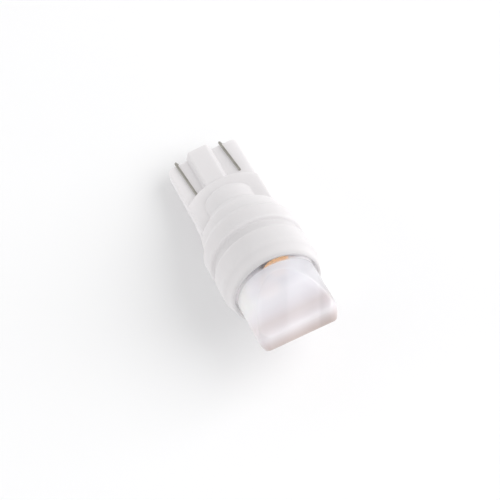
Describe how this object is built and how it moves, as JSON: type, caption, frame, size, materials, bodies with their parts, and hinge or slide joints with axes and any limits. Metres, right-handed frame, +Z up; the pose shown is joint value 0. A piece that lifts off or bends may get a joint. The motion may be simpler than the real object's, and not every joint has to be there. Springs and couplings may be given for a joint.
{
  "type": "wedge base led bulb",
  "caption": "Wedge base LED bulb: flat ceramic blade with folded wire leads, round collared housing and a nearly clear roof-shaped lens over surface mounted emitters.",
  "frame": {"origin": "centre of the bounding box at its bottom, on the surface the bulb lies on", "axes": "+X runs horizontally under the bulb's axis from the blade to the lens, which is raised; +Y is across the blade; +Z is up, on the side of the blade that carries the leads"},
  "size_m": [0.028, 0.0112, 0.0122],
  "materials": {
    "ceramic": "fine, smooth, satin white",
    "lens_plastic": "nearly clear, a little milky, polished",
    "board_mask": "white solder mask",
    "copper": "bare copper, slightly dull",
    "emitter_resin": "white moulded resin",
    "phosphor": "amber silicone with phosphor",
    "silicone": "translucent white silicone",
    "driver_mask": "green solder mask",
    "chip_resin": "black moulded resin",
    "capacitor_body": "tan ceramic chip",
    "resistor_body": "black chip",
    "tinned_wire": "tinned copper wire, drawn",
    "solder": "satin tin solder"
  },
  "bodies": {
    "root": {"ceramic_housing": "ceramic", "thermal_layer": "silicone", "led_board": "board_mask", "copper_field_left": "copper", "copper_field_middle": "copper", "copper_field_right": "copper", "emitter_left": "emitter_resin", "emitter_right": "emitter_resin", "phosphor_left": "phosphor", "phosphor_right": "phosphor", "lens": "lens_plastic", "lens_bead": "silicone", "driver_board": "driver_mask", "capacitor": "capacitor_body", "rectifier": "chip_resin", "driver_chip": "chip_resin", "resistor_left": "resistor_body", "resistor_right": "resistor_body", "lead_left": "tinned_wire", "lead_right": "tinned_wire", "pin_left": "tinned_wire", "pin_right": "tinned_wire", "pin_solder_left": "solder", "pin_solder_right": "solder", "lead_joint_left": "solder", "lead_joint_right": "solder", "pin_joint_left": "solder", "pin_joint_right": "solder"}
  },
  "joints": []
}
